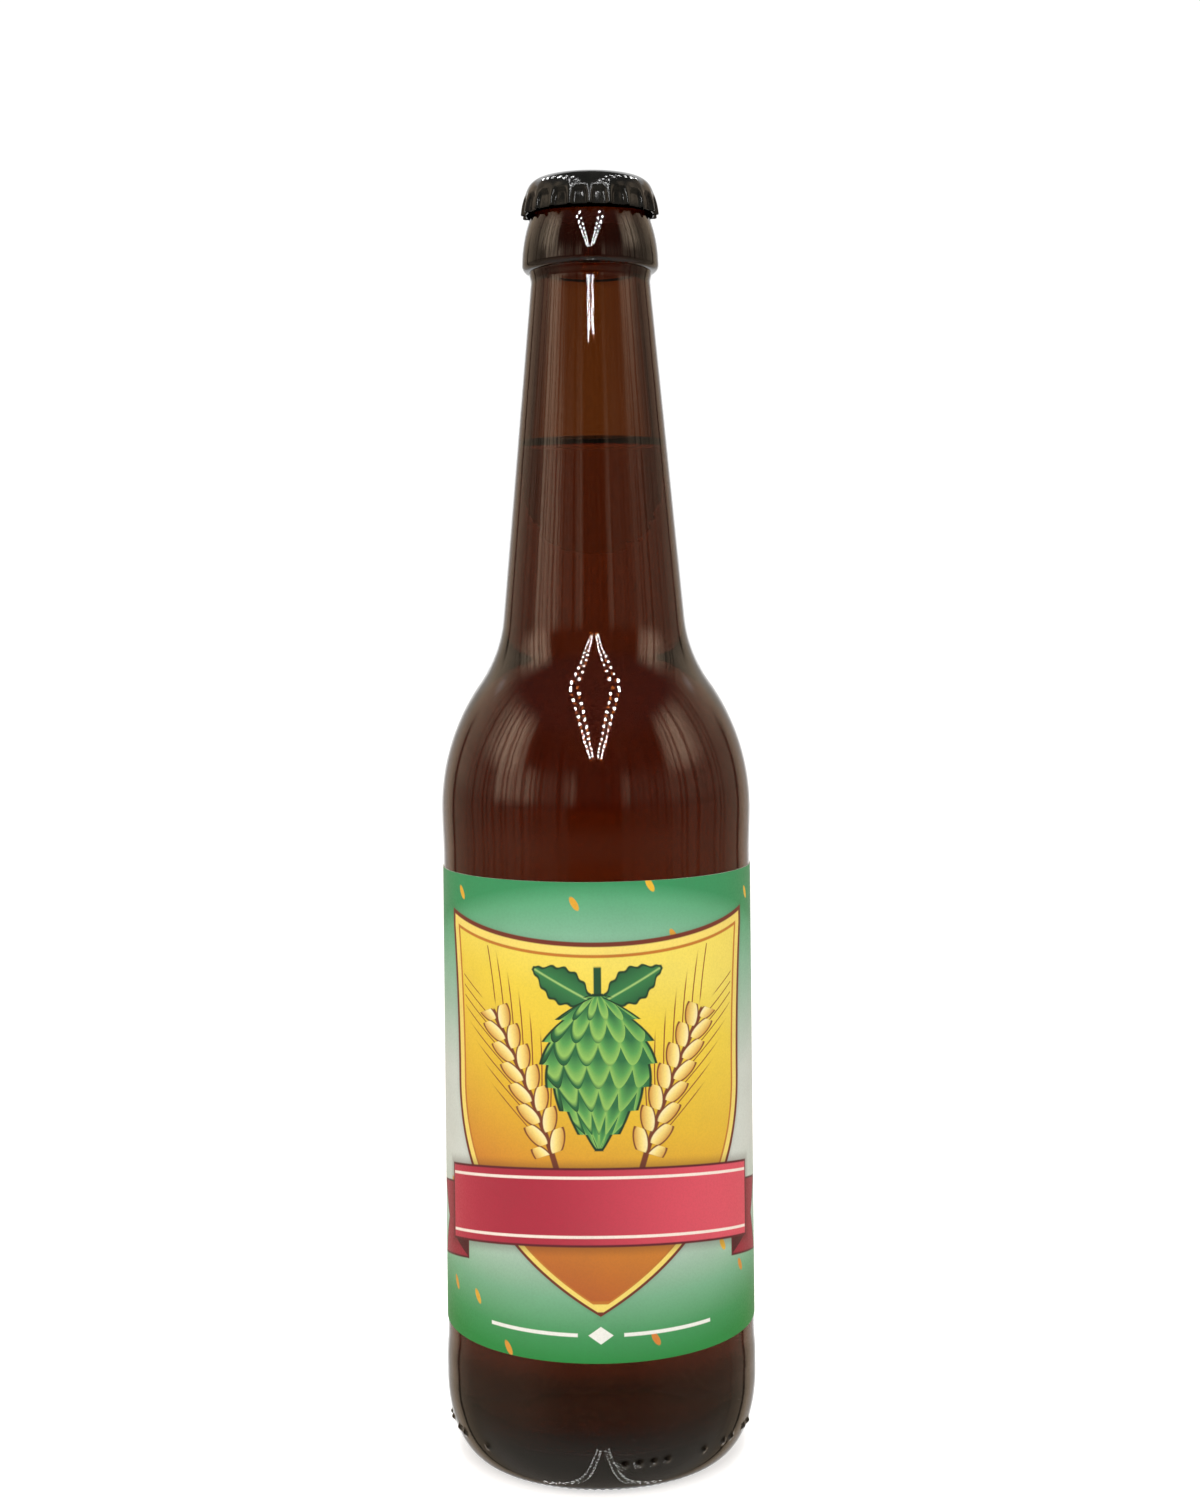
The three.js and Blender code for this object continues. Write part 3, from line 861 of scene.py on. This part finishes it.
# Barley: an ear on each side, leaning out, with two rows of grains and long awns
EAR_LEAN = math.radians(21)
EAR_FOOT_MM = (4.5, 28.0)
EAR_LOW_MM = 13.0
EAR_HIGH_MM = 43.0
EAR_BEND_FROM_MM = 18.0
EAR_BEND = 0.0045
KERNEL_PITCH_MM = 4.3
KERNEL_HALF_MM = (1.45, 2.5)
KERNEL_SIZE_MM = 1.6
KERNEL_OUT_MM = 1.9
KERNEL_SLANT = 0.42
KERNEL_LINE_MM = 0.35
KERNEL_LIGHT = 0.55
KERNEL_LIGHT_SLOPE = 0.30
STEM_LOW_MM = 2.25
STEM_HIGH_MM = 42.75
STEM_HALF_MM = 0.6
AWN_SLANT = 2.1
AWN_HALF = 0.07
AWN_ROOT_MM = (1.0, 2.0)
AWN_TIP_MM = (8.2, 6.0)
BARLEY_CLEAR_MM = 3.6
MAROON = linear(122, 58, 30)
straight_x, ear_y = leaning(EAR_FOOT_MM, EAR_LEAN)
ear_x = straight_x - (ear_y - EAR_BEND_FROM_MM) ** 2.0 * EAR_BEND
ear_side = abs(ear_x)
half_pitch = ear_x.work("GREATER_THAN", 0.0) * 0.5
kernel_y = ((ear_y / KERNEL_PITCH_MM + half_pitch).work("FRACT") - 0.5) * KERNEL_PITCH_MM
kernel_x = ear_side - KERNEL_OUT_MM - kernel_y * KERNEL_SLANT
kernel_reach = ((kernel_x / KERNEL_HALF_MM[0]) ** 2.0 + (kernel_y / KERNEL_HALF_MM[1]) ** 2.0).work("SQRT")
kernel_edge = kernel_reach * KERNEL_SIZE_MM - KERNEL_SIZE_MM
on_ear = between(ear_y, EAR_LOW_MM, EAR_HIGH_MM, soft=0.1)
awn_y = ear_y - ear_side * AWN_SLANT
awn_line = abs((awn_y / KERNEL_PITCH_MM + half_pitch).work("FRACT") - 0.5)
awn_share = both(
    within(awn_line - AWN_HALF, soft=0.015), ear_side.ramp(*AWN_TIP_MM), ear_side.ramp(*AWN_ROOT_MM),
    between(awn_y, EAR_LOW_MM - 0.5, EAR_HIGH_MM + 0.5, soft=0.5),
)
on_stem = between(ear_y, STEM_LOW_MM, STEM_HIGH_MM, soft=0.25)
stem_share = within(ear_side - STEM_HALF_MM, soft=0.15) * on_stem
in_field = within(shield_edge + BARLEY_CLEAR_MM)
kernel_ink = (kernel_x * KERNEL_LIGHT_SLOPE + KERNEL_LIGHT).colours(
    (0.0, linear(255, 246, 200)), (0.5, linear(250, 226, 130)), (1.0, linear(214, 150, 50)))
paper = blend(ink, both(awn_share, in_field), paper, linear(150, 84, 26))
paper = blend(ink, both(stem_share, in_field), paper, MAROON)
paper = blend(ink, both(within(kernel_edge - KERNEL_LINE_MM), on_ear), paper, MAROON)
paper = blend(ink, both(within(kernel_edge), on_ear), paper, kernel_ink)

# Hop cone: an egg of overlapping scales, lit from the left, with two leaves at its stalk
CONE_LOW_MM = 41.0
CONE_HIGH_MM = 71.0
CONE_MIDDLE_MM = (CONE_LOW_MM + CONE_HIGH_MM) / 2
CONE_REACH_MM = 14.6
CONE_HALF_MM = 10.5
CONE_TOP_HEAVY = 1.25
CONE_BLUNT = 0.75
CONE_ROW_MM = 4.4
CONE_STEP_MM = 1.5
CONE_COLUMNS = 2.4
CONE_LINE_MM = 0.55
SCALE_POINT = 0.8
SCALE_LIGHT = 0.18
SCALE_LIGHT_UP = 0.62
SCALE_LIGHT_RIGHT = 0.22
LEAF_LEAN = math.radians(62)
LEAF_FOOT_MM = (1.0, 69.5)
LEAF_LENGTH_MM = 13.0
LEAF_HALF_MM = 3.0
LEAF_TEETH = 2.6
LEAF_TOOTH_MM = 0.25
LEAF_SHADE_MM = 3.2
LEAF_LINE_MM = 0.5
STALK_HALF_MM = 0.75
STALK_SPAN_MM = (68.75, 76.25)
cone_y = clip((height - CONE_LOW_MM) / (CONE_HIGH_MM - CONE_LOW_MM))
cone_swell = (cone_y ** CONE_TOP_HEAVY * math.pi).work("SINE").work("MAXIMUM", 0.0001)
cone_half = cone_swell ** CONE_BLUNT * CONE_HALF_MM
cone_row = height / CONE_ROW_MM
row_up = cone_row.work("FRACT")
cone_step = (0.5 - row_up) * CONE_STEP_MM
cone_edge = overlap(side - cone_half - cone_step, abs(height - CONE_MIDDLE_MM) - CONE_REACH_MM)
cone_x = right / (cone_half + 0.3)
row_odd = (cone_row.work("FLOOR") * 0.5).work("FRACT") * 2.0
column_even = (cone_x * CONE_COLUMNS + 0.5).work("FRACT") * 2.0 - 1.0
column_odd = (cone_x * CONE_COLUMNS).work("FRACT") * 2.0 - 1.0
scale_here = column_even + (column_odd - column_even) * row_odd
scale_under = column_odd + (column_even - column_odd) * row_odd
here_up = row_up - scale_here ** 2.0 * SCALE_POINT
under_up = row_up + 1.0 - scale_under ** 2.0 * SCALE_POINT
scale_up = under_up + (here_up - under_up) * here_up.work("GREATER_THAN", 0.0)
cone_ink = clip(scale_up * SCALE_LIGHT_UP + cone_x * SCALE_LIGHT_RIGHT + SCALE_LIGHT).colours(
    (0.0, linear(20, 74, 44)), (0.16, linear(36, 112, 62)), (0.30, linear(150, 200, 96)),
    (0.62, linear(88, 164, 82)), (1.0, linear(40, 116, 66)),
)
leaf_x, leaf_y = leaning(LEAF_FOOT_MM, LEAF_LEAN)
leaf_teeth = (leaf_y * LEAF_TEETH).work("SINE") * LEAF_TOOTH_MM
leaf_half = (clip(leaf_y / LEAF_LENGTH_MM) * math.pi).work("SINE") * LEAF_HALF_MM + leaf_teeth
leaf_edge = overlap(abs(leaf_x) - leaf_half, abs(leaf_y - LEAF_LENGTH_MM / 2) - LEAF_LENGTH_MM / 2)
leaf_ink = (abs(leaf_x) / LEAF_SHADE_MM).colours(
    (0.0, linear(170, 210, 120)), (0.1, linear(50, 128, 70)), (1.0, linear(30, 100, 56)))
stalk_share = within(side - STALK_HALF_MM, soft=0.15) * between(height, *STALK_SPAN_MM, soft=0.25)
paper = blend(ink, within(leaf_edge - LEAF_LINE_MM), paper, linear(20, 66, 40))
paper = blend(ink, within(leaf_edge), paper, leaf_ink)
paper = blend(ink, stalk_share, paper, linear(24, 82, 48))
paper = blend(ink, within(cone_edge - CONE_LINE_MM), paper, linear(16, 60, 36))
paper = blend(ink, within(cone_edge), paper, cone_ink)

# Ribbon: a bare crimson band that arches across the shield, with pale rules and folded tails
RIBBON_MM = 27.0
RIBBON_HALF_MM = 7.2
RIBBON_REACH_MM = 37.0
RIBBON_LINE_MM = 0.45
RIBBON_SHADOW_MM = 1.4
RIBBON_SHADOW_SHARE = 0.4
ARCH_SPAN_MM = 62.0
ARCH_RISE_MM = 9.0
ARCH_DROP_MM = 6.0
TAIL_START_MM = 31.0
TAIL_REACH_MM = 45.0
TAIL_DROP_MM = 3.6
TAIL_NOTCH_MM = 4.0
TAIL_LINE_MM = 0.4
FOLD_SLOPE = 0.6
SHEEN_PLACE_MM = 6.0
SHEEN_MM = 15.0
RULE_INSET_MM = 1.5
RULE_HALF_MM = 0.28
arch = (right / ARCH_SPAN_MM * math.pi / 2).work("COSINE") * ARCH_RISE_MM - ARCH_DROP_MM
ribbon_up = height - RIBBON_MM - arch
ribbon_edge = overlap(abs(ribbon_up) - RIBBON_HALF_MM, side - RIBBON_REACH_MM)
tail_up = ribbon_up + TAIL_DROP_MM
tail_end = TAIL_REACH_MM - (1 - abs(tail_up) / RIBBON_HALF_MM) * TAIL_NOTCH_MM
tail_edge = overlap(abs(tail_up) - RIBBON_HALF_MM, side - tail_end, TAIL_START_MM - side)
fold_depth = (RIBBON_REACH_MM - side) * FOLD_SLOPE
fold_edge = overlap(-ribbon_up - RIBBON_HALF_MM - fold_depth, TAIL_START_MM - side)
fold_share = both(within(fold_edge), within(ribbon_up + RIBBON_HALF_MM))
sheen = ((right - SHEEN_PLACE_MM) / SHEEN_MM).work("SINE") * 0.5 + 0.5
ribbon_ink = blend(ink, sheen, linear(176, 28, 58), linear(226, 78, 98))
ribbon_shadow = within(ribbon_edge - RIBBON_SHADOW_MM, soft=1.2) * RIBBON_SHADOW_SHARE
rule_edge = abs(abs(ribbon_up) - (RIBBON_HALF_MM - RULE_INSET_MM)) - RULE_HALF_MM
rule_share = within(rule_edge, soft=0.1) * side.ramp(RIBBON_REACH_MM, RIBBON_REACH_MM - 0.3)
paper = blend(ink, within(tail_edge - TAIL_LINE_MM), paper, linear(92, 18, 30))
paper = blend(ink, within(tail_edge), paper, linear(158, 26, 52))
paper = blend(ink, fold_share, paper, linear(84, 10, 26))
paper = blend(ink, ribbon_shadow, paper, linear(70, 24, 20))
paper = blend(ink, within(ribbon_edge - RIBBON_LINE_MM), paper, linear(98, 16, 32))
paper = blend(ink, within(ribbon_edge), paper, ribbon_ink)
paper = blend(ink, rule_share, paper, linear(250, 236, 226))

# A fine white rule with a lozenge below the shield
FOOT_RULE_MM = 5.4
FOOT_RULE_HALF_MM = (9.5, 0.35)
FOOT_RULE_OUT_MM = 14.0
LOZENGE_HALF_MM = 1.7
LOZENGE_SLOPE = 0.7
from_rule = abs(height - FOOT_RULE_MM)
foot_rule_end = abs(side - FOOT_RULE_OUT_MM) - FOOT_RULE_HALF_MM[0]
foot_rule_edge = overlap(from_rule - FOOT_RULE_HALF_MM[1], foot_rule_end)
lozenge_edge = side * LOZENGE_SLOPE + from_rule - LOZENGE_HALF_MM
foot_share = within(foot_rule_edge.work("MINIMUM", lozenge_edge), soft=0.1)
paper = blend(ink, foot_share, paper, linear(244, 246, 240))

# Paper: fine fibres and faint blotches that dull the print, under a satin coat
FIBRES_PER_M = 2600
FIBRE_SHADE = 0.06
FIBRE_BUMP_SHARE = 0.15
BLOTCHES_PER_M = 90
BLOTCH_SHADE = 0.04
PAPER_SHADE = 0.09
PAPER_WAVES_PER_M = 140
PAPER_BUMP_MM = 0.09
PRINT_ROUGHNESS = (0.42, 0.54)
fibre = noise(ink, FIBRES_PER_M, detail=3.0)
fibre_shade = fibre.ramp(0.35, 0.7) * FIBRE_SHADE
blotch_shade = noise(ink, BLOTCHES_PER_M).ramp(0.4, 0.7) * BLOTCH_SHADE
tint = blend(ink, fibre_shade + blotch_shade + PAPER_SHADE, paper, linear(70, 70, 64))
paper_relief = fibre * FIBRE_BUMP_SHARE + noise(ink, PAPER_WAVES_PER_M, detail=1.0)
feed(ink, print_finish.inputs["Base Color"], tint)
feed(ink, print_finish.inputs["Roughness"], fibre.ramp(0.3, 0.7, *PRINT_ROUGHNESS))
feed(ink, print_finish.inputs["Normal"], bumps(ink, paper_relief, PAPER_BUMP_MM))

BACK_ROUGHNESS = 0.8
BACK_FIBRES_PER_M = 900
back_look, back_tree, back_finish = new_look("label_back", {"Roughness": BACK_ROUGHNESS})
back_fibre = noise(back_tree, BACK_FIBRES_PER_M, detail=3.0)
back_tint = back_fibre.colours((0.3, linear(212, 208, 196)), (0.7, linear(232, 229, 219)))
feed(back_tree, back_finish.inputs["Base Color"], back_tint)
label_mesh.materials.append(print_look)
label_mesh.materials.append(back_look)
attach(paper_label, "root")
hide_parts("label")


# The crown cap
# A cup of thin steel sheet, lacquered black, whose flared skirt is crimped under the bead of the mouth.
# The crimp leaves 21 ridges with arched hollows between them.
CAP_LOW_MM, CAP_TOP_MM = (corner[2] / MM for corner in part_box("crown_cap"))
CAP_RIDGES = 21
FACETS_TO_RIDGE = 20
CAP_FACETS = CAP_RIDGES * FACETS_TO_RIDGE
CAP_FLAT_MM = 10.0
CAP_CORNER_ARC_MM = 3.2
CAP_FLARE_DEG = 22.0
CAP_RIM_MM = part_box("crown_cap")[1][0] / MM
CAP_SHEET_MM = 0.28
CAP_BULGE_MM = 0.25
cap_corner_z = CAP_TOP_MM - CAP_CORNER_ARC_MM
inner_arc = CAP_CORNER_ARC_MM - CAP_SHEET_MM
half_sheet = CAP_SHEET_MM / 2
outer_corner = arc(
    CAP_FLAT_MM, cap_corner_z, CAP_CORNER_ARC_MM, CAP_CORNER_ARC_MM, CAP_FLARE_DEG, 90, steps=12)
inner_corner = arc(CAP_FLAT_MM, cap_corner_z, inner_arc, inner_arc, 90, CAP_FLARE_DEG, steps=8)
rim_curl = arc(CAP_RIM_MM - half_sheet, CAP_LOW_MM + half_sheet, half_sheet, half_sheet, -180, 0, steps=6)


def skirt(start, end, steps):
    """Points along a side of the skirt, which bulges a little between its rim and its corner."""
    side_points = line(start, end, steps)
    share = np.linspace(0, 1, steps + 1)
    side_points[:, 0] += CAP_BULGE_MM * 4 * share * (1 - share)
    return side_points


cap_outline = np.vstack([
    line((0, CAP_TOP_MM - CAP_SHEET_MM), inner_corner[0], steps=3)[:-1],
    inner_corner,
    skirt(inner_corner[-1], rim_curl[0], steps=18)[1:-1],
    rim_curl,
    skirt(rim_curl[-1], outer_corner[0], steps=24)[1:-1],
    outer_corner,
    line(outer_corner[-1], (0, CAP_TOP_MM), steps=5)[1:],
])
cap_mesh = turned("cap_shell", cap_outline, [CAP_FACETS] * len(cap_outline))

# Crimp: hollows that start below the corner, with a steep arched edge, and narrow ridges between them
RIDGE_SHARPNESS = 3.6
HOLLOW_MM = 0.95
HOLLOW_HEAD_MM = 0.6
HOLLOW_DEEPENING = 0.8
HOLLOW_EDGE_FROM = 0.26
HOLLOW_EDGE_WIDTH = 0.30
HOLLOW_SLOPE_SHARE = 0.35
CAP_SHARP_DEG = 60
cap_points, cap_radius, cap_turn = points_round_axis(cap_mesh)
ridge = ((1 + np.cos(CAP_RIDGES * cap_turn)) / 2) ** RIDGE_SHARPNESS
hollow_top = cap_corner_z + HOLLOW_HEAD_MM
down_skirt = np.clip((hollow_top - cap_points[:, 2]) / (hollow_top - CAP_LOW_MM), 0, 1)
hollow = (1 - ridge) * down_skirt ** HOLLOW_DEEPENING
past_edge = eased(np.clip((hollow - HOLLOW_EDGE_FROM) / HOLLOW_EDGE_WIDTH, 0, 1))
pressed = HOLLOW_MM * (HOLLOW_SLOPE_SHARE * hollow + (1 - HOLLOW_SLOPE_SHARE) * past_edge)
push_out(cap_mesh, cap_points, cap_radius, -pressed * (cap_radius > CAP_FLAT_MM))
cap_shell = piece("cap_shell", cap_mesh, CAP_SHARP_DEG)

CAP_GLOSS = 0.26
CAP_ROUGHNESS = (0.06, 0.15)
SMEARS_PER_M = 420
TONES_PER_M = 300
ORANGE_PEEL_PER_M = 1400
ORANGE_PEEL_MM = 0.02
cap_look, cap_tree, cap_finish = new_look("black_lacquer", {"Specular IOR Level": CAP_GLOSS})
cap_tone = noise(cap_tree, TONES_PER_M, detail=3.0)
cap_tint = cap_tone.colours((0.35, linear(14, 14, 13)), (0.75, linear(24, 24, 22)))
cap_smear = noise(cap_tree, SMEARS_PER_M, detail=3.0)
orange_peel = noise(cap_tree, ORANGE_PEEL_PER_M)
feed(cap_tree, cap_finish.inputs["Base Color"], cap_tint)
feed(cap_tree, cap_finish.inputs["Roughness"], cap_smear.ramp(0.35, 0.75, *CAP_ROUGHNESS))
feed(cap_tree, cap_finish.inputs["Normal"], bumps(cap_tree, orange_peel, ORANGE_PEEL_MM))
cap_mesh.materials.append(cap_look)
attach(cap_shell, "root")
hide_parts("crown_cap")
